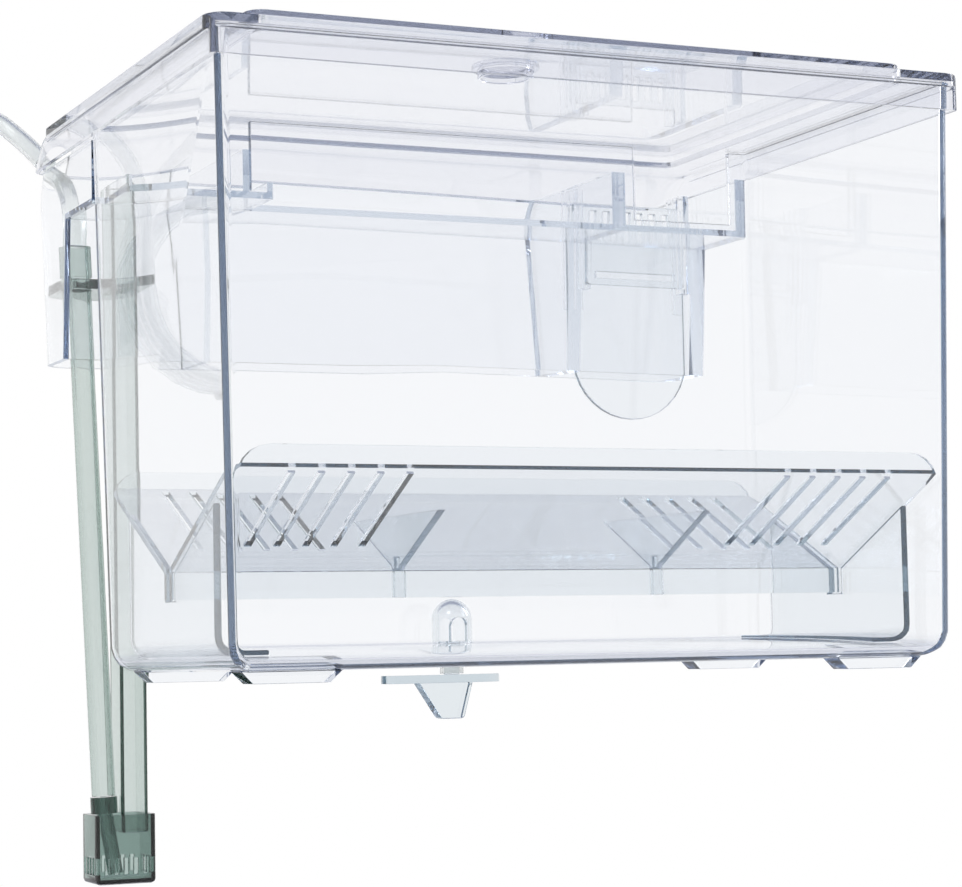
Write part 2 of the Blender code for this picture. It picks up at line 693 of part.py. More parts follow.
# Outlet
def make_grid():
    half = OUTLET_WIDTH / 2 - RAIL_WEB - GAP
    low, high = GRID_FOOT, GRID_FOOT + GRID_HEIGHT
    y0, y1 = GRID_Y - GRID_THICKNESS / 2, GRID_Y + GRID_THICKNESS / 2
    grid = slab("outlet_grid", rounded(
        (OUTLET_CENTRE - half, low), (OUTLET_CENTRE + half, high), GRID_CORNER), "Y", y0, y1)
    inner = half - RAIL_REACH
    slots = [block("grid_slot", (OUTLET_CENTRE - inner, y0 - OVERRUN, low + GRID_BORDER),
                   (OUTLET_CENTRE + inner, y1 + OVERRUN, low + GRID_BORDER + GRID_SLOT))]
    pitch = 2 * inner / GRID_COMB_COUNT
    for i in range(GRID_COMB_COUNT):
        x = OUTLET_CENTRE - inner + pitch * (i + 0.5)
        top = high - GRID_BORDER
        slots.append(block(f"comb_{i}", (x - GRID_COMB_WIDTH / 2, y0 - OVERRUN, top - GRID_COMB_HEIGHT),
                           (x + GRID_COMB_WIDTH / 2, y1 + OVERRUN, top)))
    cut(grid, *slots)
    return as_part(grid, CLEAR)


def make_tongue():
    half = OUTLET_WIDTH / 2 - GAP
    drop = TONGUE_SHOULDER - TONGUE_FOOT
    radius = (half * half + drop * drop) / (2 * drop)
    reach = asin(half / radius)
    centre = (OUTLET_CENTRE, TONGUE_FOOT + radius)
    foot_arc = arc(centre, radius, -pi / 2 - reach, -pi / 2 + reach, 14)
    outline = [(OUTLET_CENTRE - half, TONGUE_TOP), *foot_arc, (OUTLET_CENTRE + half, TONGUE_TOP)]
    y0 = TONGUE_Y - TONGUE_THICKNESS / 2
    return as_part(slab("outlet_tongue", outline, "Y", y0, y0 + TONGUE_THICKNESS), CLEAR)


# Lid
LID_FRONT = box_front(LID_FOOT) - LID_OVERHANG
LID_HALF = box_half(LID_FOOT) + LID_OVERHANG
FEED_Y = LID_FRONT + FEED_SETBACK


def lid_profile(inset, front_inset, top_inset, low):
    """The lid from the side, inset by a wall."""
    radius = BACK_RADIUS - inset
    round_back = arc((BACK_CENTRE_Y, BACK_CENTRE), radius, back_angle(low, radius), pi / 2, 8)
    top = LID_TOP - top_inset
    round_back[-1] = (BACK_CENTRE_Y, top)
    return [(LID_FRONT + front_inset, low), *round_back, (LID_FRONT + front_inset, top)]


def lid_bead():
    """The thicker edge along the front and the sides of the lid."""
    outer = LID_HALF + BEAD_REACH
    outline = rounded((-outer, LID_FRONT - BEAD_REACH), (outer, BACK_CENTRE_Y), BEAD_RADIUS)
    plate = slab("lid_bead", outline, "Z", LID_TOP - BEAD_HEIGHT, LID_TOP)
    return bake(bevel(plate, BEAD_BEVEL))


def panel_outline(inset):
    low = (-LID_HALF + PANEL_SIDE_INSET + inset, LID_FRONT + PANEL_FRONT_INSET + inset)
    high = (LID_HALF - PANEL_SIDE_INSET - inset, LEG_REAR - PANEL_REAR_INSET - inset)
    return rounded(low, high, PANEL_RADIUS - inset)


def make_lid():
    low = LID_FOOT - BEAD_HEIGHT
    lid = slab("lid", lid_profile(0, 0, 0, low), "X", -LID_HALF, LID_HALF)
    round_back_ends(lid, BACK_CORNER, (-1, 1), LID_EDGE_BEVEL / BACK_CORNER)
    panel = slab("lid_panel", panel_outline(0), "Z", LID_TOP - JOIN, LID_TOP + PANEL_RISE)
    bake(bevel(panel, PANEL_EDGE))
    fuse(lid, lid_bead(), panel)
    inside = slab("lid_inside", lid_profile(LID_SKIRT_WALL, LID_SKIRT_WALL, LID_WALL, low),
                  "X", -LID_HALF + LID_SKIRT_WALL, LID_HALF - LID_SKIRT_WALL)
    round_back_ends(inside, BACK_CORNER - LID_SKIRT_WALL, (-1, 1))
    under = slab("lid_panel_inside", panel_outline(LID_WALL), "Z",
                 LID_TOP - LID_WALL - JOIN, LID_TOP + PANEL_RISE - LID_WALL)
    reach = LID_HALF + OVERRUN
    below = block("lid_below", (-reach, LID_FRONT - OVERRUN, low - OVERRUN),
                  (reach, LEG_REAR + OVERRUN, LID_FOOT))
    feed = rod("feed_hole", (FEED_X, FEED_Y, LID_TOP - OVERRUN), (FEED_X, FEED_Y, LID_TOP + OVERRUN),
               FEED_RADIUS)
    crown = arc((NOTCH.x, NOTCH.z + NOTCH_RADIUS), NOTCH_RADIUS + GAP, 0, pi, 12)
    sides = [(crown[-1][0], low), (crown[0][0], low)]
    notch = slab("lid_notch", crown + sides, "Y", BACK_CENTRE_Y + LID_WALL, NOTCH.y + OVERRUN)
    cut(lid, inside, under, below, feed, notch)
    return as_part(lid, CLEAR)


def make_feed_cap():
    """A press-in cap, hollow from below."""
    seat = LID_TOP + PANEL_RISE + GAP
    radius = FEED_RADIUS - GAP
    flange = FEED_RADIUS + CAP_FLANGE_REACH
    low = seat - CAP_DROP
    profile = [(0, seat + CAP_FLANGE), (flange, seat + CAP_FLANGE), (flange, seat), (radius, seat),
               (radius, low), (radius - CAP_WALL, low), (radius - CAP_WALL, seat), (0, seat)]
    return as_part(turned("feed_cap", profile, (FEED_X, FEED_Y, 0), 28), CLEAR)


# Trough
def trough_places():
    """The trough's middle, its outer reach and its heights."""
    rim = BASE_Z + TROUGH_RIM_HEIGHT
    fold = rim - TROUGH_RIM
    middle = (FRONT_Y + BACK_Y) / 2
    reach = (box_back(fold) - box_front(fold)) / 2 - BOX_WALL - SLIDE_GAP
    return middle, reach, rim, fold


TROUGH_Y, TROUGH_REACH, TROUGH_TOP, TROUGH_FOLD = trough_places()
TROUGH_LOW = TROUGH_FOLD - TROUGH_FALL
TROUGH_HALF = box_half(TROUGH_LOW - TROUGH_LIP) - BOX_WALL - SLIDE_GAP
LIP_INNER = TROUGH_SLOT / 2
LIP_OUTER = LIP_INNER + TROUGH_WALL
SLOPE = TROUGH_FALL / (TROUGH_REACH - LIP_OUTER)
SLOPE_WALL = TROUGH_WALL * hypot(1, SLOPE)  # the panel's thickness, measured upright


def panel_profile(side):
    """One sloping panel from the end: rim, slope and lip."""
    out = [(TROUGH_REACH, TROUGH_TOP), (TROUGH_REACH, TROUGH_FOLD), (LIP_OUTER, TROUGH_LOW),
           (LIP_OUTER, TROUGH_LOW - TROUGH_LIP)]
    back = [(LIP_INNER, TROUGH_LOW - TROUGH_LIP), (LIP_INNER, TROUGH_LOW + SLOPE_WALL - SLOPE * TROUGH_WALL),
            (TROUGH_REACH - TROUGH_WALL, TROUGH_FOLD + SLOPE_WALL - SLOPE * TROUGH_WALL),
            (TROUGH_REACH - TROUGH_WALL, TROUGH_TOP)]
    return [(TROUGH_Y + side * y, z) for y, z in out + back]


def slit_cutter(name, x, side):
    """A narrow slit straight down a panel's slope."""
    run = TROUGH_REACH - LIP_OUTER
    start = TROUGH_REACH - run * SLIT_START_SHARE
    end = TROUGH_REACH - run * SLIT_END_SHARE
    middle = TROUGH_LOW + SLOPE * ((start + end) / 2 - LIP_OUTER)
    length = (start - end) * hypot(1, SLOPE)
    bm = bmesh.new()
    bmesh.ops.create_cube(bm, size=1)
    bmesh.ops.scale(bm, vec=(SLIT_WIDTH, length, TROUGH_WALL + 2 * OVERRUN), verts=bm.verts)
    bm.transform(Matrix.Translation((x, TROUGH_Y + side * (start + end) / 2, middle))
                 @ Matrix.Rotation(side * atan2(SLOPE, 1), 4, "X"))
    return finish_mesh(name, bm)


def corner_cutter(name, side_x, side_y):
    """Rounds one upper corner of a panel's rim."""
    edge, top = TROUGH_HALF, TROUGH_TOP
    centre = (edge - TROUGH_CORNER, top - TROUGH_CORNER)
    outline = [(edge + OVERRUN, top - TROUGH_CORNER), (edge + OVERRUN, top + OVERRUN),
               (edge - TROUGH_CORNER, top + OVERRUN), *arc(centre, TROUGH_CORNER, pi / 2, 0, 5)]
    y = sorted((TROUGH_Y + side_y * (TROUGH_REACH + SLIDE_GAP), TROUGH_Y + side_y * (TROUGH_REACH - OVERRUN)))
    return slab(name, [(side_x * x, z) for x, z in outline], "Y", *y)


def make_panel(name, side):
    panel = slab(name, panel_profile(side), "X", -TROUGH_HALF, TROUGH_HALF)
    tools = []
    for end in (-1, 1):
        for i in range(SLIT_COUNT):
            tools.append(slit_cutter(f"{name}_slit", end * (SLIT_FIRST + i * SLIT_PITCH), side))
        tools.append(corner_cutter(f"{name}_corner", end, side))
    cut(panel, *tools)
    return as_part(panel, CLEAR)


def v_outline(clearance, lip_room, top):
    """The space that the trough's panels take, seen from the end, grown by a clearance."""
    points = []
    for side in (-1, 1):
        half = [(TROUGH_REACH + OVERRUN, top),
                (TROUGH_REACH + OVERRUN, TROUGH_FOLD + SLOPE * OVERRUN - clearance),
                (LIP_OUTER + lip_room, TROUGH_LOW + SLOPE * lip_room - clearance),
                (LIP_OUTER + lip_room, TROUGH_LOW - TROUGH_LIP - lip_room)]
        half = [(TROUGH_Y + side * y, z) for y, z in half]
        points += half if side < 0 else half[::-1]
    return points


def make_end(name, side):
    """A plate that stands at one end of the box, with its foot turned in."""
    floor = FLOOR_Z + GAP
    outer = box_half(floor) - BOX_WALL - END_INSET
    bend = (outer - END_BEND, floor + END_BEND)
    outline = [(outer, TROUGH_TOP), *arc(bend, END_BEND, 0, -pi / 2, 5), (outer - END_FOOT, floor),
               (outer - END_FOOT, floor + END_WALL), *arc(bend, END_BEND - END_WALL, -pi / 2, 0, 5),
               (outer - END_WALL, TROUGH_TOP)]
    plate = slab(name, [(side * x, z) for x, z in outline], "Y",
                 TROUGH_Y - END_WIDTH / 2, TROUGH_Y + END_WIDTH / 2)
    reach = sorted((side * (outer + OVERRUN), side * (outer - END_FOOT - OVERRUN)))
    cut(plate, slab(f"{name}_v", v_outline(GAP * hypot(1, SLOPE), GAP, TROUGH_TOP + OVERRUN), "X", *reach))
    return as_part(plate, CLEAR)


def make_divider(name, x):
    """A triangular plate that stands in the trough, with a keel in its slot."""
    top = BASE_Z + DIVIDER_TOP
    lift = SLOPE_WALL + GAP * hypot(1, SLOPE)
    low = TROUGH_LOW + lift
    half = LIP_OUTER + (top - low) / SLOPE
    keel = LIP_INNER - GAP
    foot_z = TROUGH_LOW - TROUGH_LIP
    shoulder = low + SLOPE * (keel - LIP_OUTER)
    sides = [(half, top), (keel, shoulder)]
    outline = [(TROUGH_Y + y, z) for y, z in sides] + [(TROUGH_Y - y, z) for y, z in sides[::-1]]
    plate = slab(name, outline, "X", x - DIVIDER_THICKNESS / 2, x + DIVIDER_THICKNESS / 2)
    tab = block(f"{name}_keel", (x - DIVIDER_KEEL / 2, TROUGH_Y - keel, foot_z),
                (x + DIVIDER_KEEL / 2, TROUGH_Y + keel, shoulder + DIVIDER_KEEL))
    fuse(plate, tab)
    return as_part(plate, CLEAR)


# Lift
def make_lift_tube():
    half_x, half_y = TUBE_WIDTH / 2, TUBE_DEPTH / 2
    body = block("lift_tube", (TUBE_X - half_x, TUBE_Y - half_y, TUBE_FOOT),
                 (TUBE_X + half_x, TUBE_Y + half_y, TUBE_TOP))
    bake(bevel(body, TUBE_WALL))
    bore_x, bore_y = half_x - TUBE_WALL, half_y - TUBE_WALL
    bore = block("lift_bore", (TUBE_X - bore_x, TUBE_Y - bore_y, TUBE_FOOT - OVERRUN),
                 (TUBE_X + bore_x, TUBE_Y + bore_y, TUBE_TOP + OVERRUN))
    window = block("lift_window", (TUBE_X - bore_x, TUBE_Y - half_y - OVERRUN, TUBE_TOP - TUBE_WINDOW),
                   (TUBE_X + bore_x, TUBE_Y, TUBE_TOP + OVERRUN))
    cut(body, bore, window)
    return as_part(body, PALE_GREEN)


def make_air_pipe():
    along = (PIPE_FOOT - PIPE_TOP).normalized()
    pipe = rod("air_pipe", PIPE_TOP, PIPE_FOOT, PIPE_RADIUS, 20)
    collar = rod("pipe_collar", PIPE_TOP, PIPE_TOP + along * PIPE_COLLAR, PIPE_RADIUS + PIPE_COLLAR_WALL, 20)
    bore = rod("pipe_bore", PIPE_TOP - along * OVERRUN, PIPE_FOOT + along * OVERRUN, PIPE_BORE, 12)
    fuse(pipe, collar)
    cut(pipe, bore)
    return as_part(pipe, PALE_GREEN)


def make_nozzle():
    """The sleeve, its bored seat round the pipe and the slanting tip."""
    along = (PIPE_FOOT - PIPE_TOP).normalized()
    top = PIPE_FOOT + along * GAP
    foot_end = top + along * NOZZLE_HEIGHT
    sleeve = rod("air_nozzle", top, foot_end, NOZZLE_RADIUS, 20)
    tip = rod("nozzle_tip", foot_end - along * JOIN, TIP_END, TIP_RADIUS, 16)
    slant = (TIP_END - foot_end).normalized()
    bore = rod("nozzle_bore", foot_end, TIP_END + slant * OVERRUN, TIP_BORE, 10)
    well = rod("nozzle_well", top - along * OVERRUN, foot_end, TIP_BORE, 10)
    fuse(sleeve, tip)
    cut(sleeve, bore, well)
    return as_part(sleeve, SMOKE, 0.3)


def pipe_x(z):
    """Where the leaning air pipe's axis is at a height."""
    share = (z - PIPE_TOP.z) / (PIPE_FOOT.z - PIPE_TOP.z)
    return PIPE_TOP.x + (PIPE_FOOT.x - PIPE_TOP.x) * share


def make_clip():
    """A plate across the leg that both pipes pass through."""
    low, high = CLIP_TOP - CLIP_HEIGHT, CLIP_TOP
    left = -HANGER_HALF + HANGER_WALL + GAP
    front_lean = LEG_LEAN / LEG_DROP
    taper = (LEG_REAR - HANGER_WALL - (SLOT_BACK + LEG_LEAN + LEG_FOOT_DEPTH - HANGER_WALL)) / (
        LEG_SHOULDER + LEG_DROP)
    front = SLOT_BACK + HANGER_WALL - front_lean * low + GAP
    back = LEG_REAR - HANGER_WALL - taper * (LEG_SHOULDER - low) - GAP
    right = left + CLIP_WIDTH
    corner = arc((left + BACK_CORNER, back - BACK_CORNER), BACK_CORNER, pi, pi / 2, 4)
    clip = slab("tube_clip", [(right, back), (right, front), (left, front), *corner], "Z", low, high)
    x = TUBE_WIDTH / 2 + GAP
    y = TUBE_DEPTH / 2 + GAP
    tube_hole = block("clip_tube_hole", (TUBE_X - x, TUBE_Y - y, low - OVERRUN),
                      (TUBE_X + x, TUBE_Y + y, high + OVERRUN))
    centre = pipe_x((low + high) / 2)
    pipe_hole = rod("clip_pipe_hole", (centre, PIPE_Y, low - OVERRUN), (centre, PIPE_Y, high + OVERRUN),
                    PIPE_RADIUS + GAP)
    cut(clip, tube_hole, pipe_hole)
    return as_part(clip, PALE_GREEN)


CUP_RIGHT = TUBE_X + TUBE_WIDTH / 2 + GAP + CUP_WALL
CUP_HALF_DEPTH = TUBE_DEPTH / 2 + GAP + CUP_WALL


def make_cup():
    """An open cup with slits round its foot."""
    front, back = TUBE_Y - CUP_HALF_DEPTH, TUBE_Y + CUP_HALF_DEPTH
    top = CUP_FOOT + CUP_HEIGHT
    cup = block("strainer_cup", (CUP_LEFT, front, CUP_FOOT), (CUP_RIGHT, back, top + OVERRUN))
    bake(bevel(cup, CUP_FILLET))
    hollow = block("cup_inside", (CUP_LEFT + CUP_WALL, front + CUP_WALL, CUP_FOOT + CUP_WALL),
                   (CUP_RIGHT - CUP_WALL, back - CUP_WALL, top + 2 * OVERRUN))
    over = block("cup_over", (CUP_LEFT - OVERRUN, front - OVERRUN, top),
                 (CUP_RIGHT + OVERRUN, back + OVERRUN, top + 3 * OVERRUN))
    low = CUP_FOOT + CUP_SLIT_RISE
    high = low + CUP_SLIT_HEIGHT
    half = CUP_SLIT_WIDTH / 2
    slits = []
    for i in range(CUP_SLIT_COUNT):
        x = (CUP_LEFT + CUP_RIGHT) / 2 + (i - (CUP_SLIT_COUNT - 1) / 2) * CUP_SLIT_PITCH
        slits.append(block(f"cup_slit_{i}", (x - half, front - OVERRUN, low),
                           (x + half, back + OVERRUN, high)))
    for i in range(CUP_SLIT_COUNT - 1):
        y = TUBE_Y + (i - (CUP_SLIT_COUNT - 2) / 2) * CUP_SLIT_PITCH
        slits.append(block(f"cup_side_slit_{i}", (CUP_LEFT - OVERRUN, y - half, low),
                           (CUP_RIGHT + OVERRUN, y + half, high)))
    cut(cup, hollow, over, *slits)
    return as_part(cup, SMOKE, 0.2)


# Air line
def smooth(points, steps):
    """Points on a Catmull-Rom curve through the given ones."""
    ends = [2 * points[0] - points[1], *points, 2 * points[-1] - points[-2]]
    out = []
    for a, b, c, d in zip(ends, ends[1:], ends[2:], ends[3:]):
        for i in range(steps):
            t = i / steps
            out.append(0.5 * (2 * b + (c - a) * t + (2 * a - 5 * b + 4 * c - d) * t * t
                              + (3 * b - a - 3 * c + d) * t ** 3))
    return out + [points[-1]]


def make_elbow():
    """A bent pipe from the air pipe's top, out through the notch in the back."""
    along = (PIPE_TOP - PIPE_FOOT).normalized()
    start = PIPE_TOP + along * GAP
    return as_part(tube("air_elbow", smooth([start, *ELBOW_POINTS], ROUTE_STEPS), LINE_RADIUS), PALE_GREEN)


def coil_points():
    """The loops in one unbroken run: a straight start, a helix and a straight tail."""
    start = LINE_POINTS[-1] + Vector((0, 0, -GAP))
    centre = start + Vector((-COIL_RADIUS, 0, -COIL_LEAD))
    points = [start]
    for i in range(COIL_TURNS * COIL_POINTS + 1):
        turn = 2 * pi * i / COIL_POINTS
        points.append(centre + Vector(
            (COIL_RADIUS * cos(turn), COIL_PITCH * i / COIL_POINTS, -COIL_RADIUS * sin(turn))))
    points.append(points[-1] + Vector((0, 0, -COIL_TAIL)))
    return points


def make_line():
    return as_part(tube("airline_run", smooth(LINE_POINTS, ROUTE_STEPS), LINE_RADIUS), SILICONE, 0.25)


def make_coil():
    return as_part(tube("airline_coil", coil_points(), LINE_RADIUS, 1), SILICONE, 0.25)


def make_tie():
    """A flat band round all the loops, at the foot of the coil."""
    start = LINE_POINTS[-1]
    z = start.z - GAP - COIL_LEAD - COIL_RADIUS
    x = start.x - COIL_RADIUS
    first = start.y + COIL_PITCH / 4
    last = first + COIL_PITCH * (COIL_TURNS - 1)
    reach = LINE_RADIUS + GAP

    def band(room):
        out = reach + room
        return rounded((first - out, z - out), (last + out, z + out), out)

    tie = slab("coil_tie", band(TIE_WALL), "X", x - TIE_WIDTH / 2, x + TIE_WIDTH / 2)
    cut(tie, slab("tie_inside", band(0), "X", x - TIE_WIDTH, x + TIE_WIDTH))
    return as_part(tie, SMOKE, 0.5)


# Drain
WING_TOP = BASE_Z - SEAL_HEIGHT - 2 * GAP


def make_plug():
    """A winged grip with a stem and a key that catches above the floor."""
    half = WING_LENGTH / 2
    low = WING_TOP - WING_HEIGHT
    outline = rounded((WING_SHIFT - half, -WING_DEPTH / 2), (WING_SHIFT + half, WING_DEPTH / 2), WING_END)
    wing = slab("drain_plug", outline, "Z", low, WING_TOP)
    foot_z = low - GRIP_HEIGHT
    grip = slab("plug_grip", [
        (GRIP_SHIFT - GRIP_TOP / 2, low + JOIN), (GRIP_SHIFT + GRIP_TOP / 2, low + JOIN),
        (GRIP_FOOT_SHIFT + GRIP_FOOT / 2, foot_z), (GRIP_FOOT_SHIFT - GRIP_FOOT / 2, foot_z)],
        "Y", -GRIP_DEPTH / 2, GRIP_DEPTH / 2)
    bake(bevel(grip, GRIP_BEVEL))
    key_low = FLOOR_Z + GAP
    stem = rod("plug_stem", (0, 0, WING_TOP - JOIN), (0, 0, key_low + KEY_HEIGHT), STEM_RADIUS, 16)
    key = block("plug_key", (-KEY_LENGTH / 2, -KEY_WIDTH / 2, key_low),
                (KEY_LENGTH / 2, KEY_WIDTH / 2, key_low + KEY_HEIGHT))
    fuse(wing, grip, stem, key)
    bake(wing)
    pivot = bpy.data.objects.new("drain_axis", None)
    pivot.location = (DRAIN_X, DRAIN_Y, 0)
    PARTS.objects.link(pivot)
    as_part(wing, CLEAR)
    wing.parent = pivot
    return wing


def make_seal():
    low = WING_TOP + GAP
    inner = STEM_RADIUS + GAP
    profile = [(SEAL_RADIUS, low + SEAL_HEIGHT), (SEAL_RADIUS, low), (inner, low), (inner, low + SEAL_HEIGHT)]
    return as_part(turned("drain_seal", profile, (DRAIN_X, DRAIN_Y, 0), 24), SILICONE, 0.5)


def make_dome():
    """A hollow dome over the drain hole, with an arched way through."""
    low = FLOOR_Z + GAP
    inner = DOME_RADIUS - DOME_WALL
    crown = low + DOME_HEIGHT - DOME_RADIUS
    outside = arc((0, crown), DOME_RADIUS, pi / 2, 0, 6)
    inside = arc((0, crown), inner, 0, pi / 2, 6)
    profile = [*outside, (DOME_RADIUS, low), (inner, low), *inside]
    dome = turned("drain_dome", profile, (DRAIN_X, DRAIN_Y, 0), 28)
    half = DOME_ARCH / 2
    outline = [(DRAIN_X - half, low + DOME_WALL), (DRAIN_X + half, low + DOME_WALL),
               *arc((DRAIN_X, low + DOME_ARCH_RISE), half, 0, pi, 6)]
    reach = DOME_RADIUS + OVERRUN
    cut(dome, slab("dome_arch", outline, "Y", DRAIN_Y - reach, DRAIN_Y + reach))
    return as_part(dome, CLEAR)


def shade(thing):
    """Smooth shading with sharp edges kept."""
    thing.data.shade_smooth()
    thing.data.set_sharp_from_angle(angle=30 * DEG)


def main():
    make_box()
    make_hanger()
    make_lid()
    make_feed_cap()
    make_panel("trough_front_panel", -1)
    make_panel("trough_rear_panel", 1)
    make_end("trough_left_end", -1)
    make_end("trough_right_end", 1)
    for name, x in zip(("left_divider", "right_divider"), DIVIDER_PLACES):
        make_divider(name, x)
    make_grid()
    make_tongue()
    make_lift_tube()
    make_air_pipe()
    make_nozzle()
    make_clip()
    make_cup()
    make_elbow()
    make_line()
    make_coil()
    make_tie()
    make_plug()
    make_seal()
    make_dome()
    for thing in PARTS.objects:
        if thing.type == "MESH":
            shade(thing)


main()
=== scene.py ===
"""Looks of a clear hang-on fish breeding box: finishes, the air line and the studio."""

import json
from math import cos, pi, radians, sin

import bmesh
import bpy
from mathutils import Matrix, Vector

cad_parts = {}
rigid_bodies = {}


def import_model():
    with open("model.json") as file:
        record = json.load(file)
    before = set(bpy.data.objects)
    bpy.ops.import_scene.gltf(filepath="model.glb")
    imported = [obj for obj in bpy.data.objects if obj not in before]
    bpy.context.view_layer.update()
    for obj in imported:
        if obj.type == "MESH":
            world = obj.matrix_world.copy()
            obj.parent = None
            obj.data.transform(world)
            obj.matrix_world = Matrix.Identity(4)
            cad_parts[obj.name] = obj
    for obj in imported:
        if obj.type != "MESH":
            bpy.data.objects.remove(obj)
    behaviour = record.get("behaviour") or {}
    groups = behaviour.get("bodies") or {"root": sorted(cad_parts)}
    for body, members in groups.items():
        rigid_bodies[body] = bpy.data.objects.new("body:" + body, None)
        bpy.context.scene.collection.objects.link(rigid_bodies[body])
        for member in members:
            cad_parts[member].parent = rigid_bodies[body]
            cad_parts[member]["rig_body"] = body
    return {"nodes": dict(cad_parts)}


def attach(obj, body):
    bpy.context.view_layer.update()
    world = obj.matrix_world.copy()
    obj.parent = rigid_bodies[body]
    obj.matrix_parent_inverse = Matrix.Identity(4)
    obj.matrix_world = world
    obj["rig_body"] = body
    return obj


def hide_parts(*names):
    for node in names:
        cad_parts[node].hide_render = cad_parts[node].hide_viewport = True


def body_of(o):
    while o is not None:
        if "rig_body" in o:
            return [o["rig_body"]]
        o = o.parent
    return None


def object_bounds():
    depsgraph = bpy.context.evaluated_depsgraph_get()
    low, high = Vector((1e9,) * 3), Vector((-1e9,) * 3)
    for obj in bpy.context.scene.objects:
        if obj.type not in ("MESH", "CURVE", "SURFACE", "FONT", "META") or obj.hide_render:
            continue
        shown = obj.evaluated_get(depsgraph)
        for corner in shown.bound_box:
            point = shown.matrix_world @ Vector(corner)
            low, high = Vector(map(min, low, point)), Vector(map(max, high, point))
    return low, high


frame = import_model()
CAD_BOUNDS = [[float(v) for v in corner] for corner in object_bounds()]
NODES = frame["nodes"]
MM = 0.001

# Camera, at the photograph's place
CAMERA_PLACE = Vector((-321.25, -754.54, -132.54)) * MM
CAMERA_YAW = radians(24.344)
CAMERA_PITCH = radians(4.458)
CAMERA_ROLL = radians(-1.1615)
CAMERA_LENS = 97.606
CAMERA_SENSOR = 36
CAMERA_NEAREST = 10 * MM


def make_camera():
    """A camera that looks along +Y, turned to the right, tipped up and rolled."""
    across = Vector((cos(CAMERA_YAW), -sin(CAMERA_YAW), 0))
    level = Vector((sin(CAMERA_YAW), cos(CAMERA_YAW), 0))
    ahead = level * cos(CAMERA_PITCH) + Vector((0, 0, sin(CAMERA_PITCH)))
    above = across.cross(ahead)
    right = across * cos(CAMERA_ROLL) + above * sin(CAMERA_ROLL)
    up = above * cos(CAMERA_ROLL) - across * sin(CAMERA_ROLL)
    data = bpy.data.cameras.new("camera")
    data.lens = CAMERA_LENS
    data.sensor_width = CAMERA_SENSOR
    data.clip_start = CAMERA_NEAREST
    camera = bpy.data.objects.new("camera", data)
    bpy.context.scene.collection.objects.link(camera)
    turn = Matrix((right, up, -ahead)).transposed().to_4x4()
    camera.matrix_world = Matrix.Translation(CAMERA_PLACE) @ turn
    bpy.context.scene.camera = camera


# Materials: one noise gives patches of sheen and a slower one gives flow waves; scales are per metre
NOISE_LOW = 0.35  # the part of the noise that the roughness follows
NOISE_HIGH = 0.75
SHEEN_SCALE = 90
SHEEN_DETAIL = 4
FLOW_SCALE = 38
FLOW_DETAIL = 1
FLOW_STRETCH = (1, 1, 0.35)
FLOW_STRENGTH = 0.6
ACRYLIC_IOR = 1.49

SILICONE_COLOUR = (0.93, 0.95, 0.95, 1)
SILICONE_CLEARNESS = 0.92
SILICONE_IOR = 1.41
SILICONE_ROUGHNESS = (0.12, 0.24)
SILICONE_SHEEN_SCALE = 160
SILICONE_SHEEN_DETAIL = 3
SILICONE_GRAIN_SCALE = 300
SILICONE_GRAIN_DETAIL = 2
SILICONE_GRAIN = 0.03 * MM
SILICONE_GRAIN_STRENGTH = 0.4

TIE_COLOUR = (0.045, 0.05, 0.05, 1)
TIE_ROUGHNESS = (0.4, 0.62)
TIE_SHEEN_SCALE = 500
TIE_SHEEN_DETAIL = 4
TIE_GRAIN_SCALE = 900
TIE_GRAIN_DETAIL = 3
TIE_GRAIN = 0.05 * MM
TIE_GRAIN_STRENGTH = 0.5


def shader_of(name):
    """A new material, its node tree and its Principled shader."""
    made = bpy.data.materials.new(name)
    made.use_nodes = True
    tree = made.node_tree
    return made, tree, tree.nodes["Principled BSDF"]


def noise(tree, scale, detail, stretch=None):
    """Noise in the object's own coordinates."""
    place = tree.nodes.new("ShaderNodeTexCoord")
    pattern = tree.nodes.new("ShaderNodeTexNoise")
    pattern.inputs["Scale"].default_value = scale
    pattern.inputs["Detail"].default_value = detail
    if stretch:
        mapping = tree.nodes.new("ShaderNodeMapping")
        mapping.inputs["Scale"].default_value = stretch
        tree.links.new(place.outputs["Object"], mapping.inputs["Vector"])
        tree.links.new(mapping.outputs["Vector"], pattern.inputs["Vector"])
    else:
        tree.links.new(place.outputs["Object"], pattern.inputs["Vector"])
    return pattern


def bump(tree, shader, pattern, distance, strength):
    """A surface that rises and falls with the pattern."""
    made = tree.nodes.new("ShaderNodeBump")
    made.inputs["Distance"].default_value = distance
    made.inputs["Strength"].default_value = strength
    tree.links.new(pattern.outputs["Fac"], made.inputs["Height"])
    tree.links.new(made.outputs["Normal"], shader.inputs["Normal"])


def vary_roughness(tree, shader, pattern, low, high):
    """A roughness between two values, from the pattern."""
    ramp = tree.nodes.new("ShaderNodeMapRange")
    ramp.inputs["From Min"].default_value = NOISE_LOW
    ramp.inputs["From Max"].default_value = NOISE_HIGH
    ramp.inputs["To Min"].default_value = low
    ramp.inputs["To Max"].default_value = high
    tree.links.new(pattern.outputs["Fac"], ramp.inputs["Value"])
    tree.links.new(ramp.outputs["Result"], shader.inputs["Roughness"])


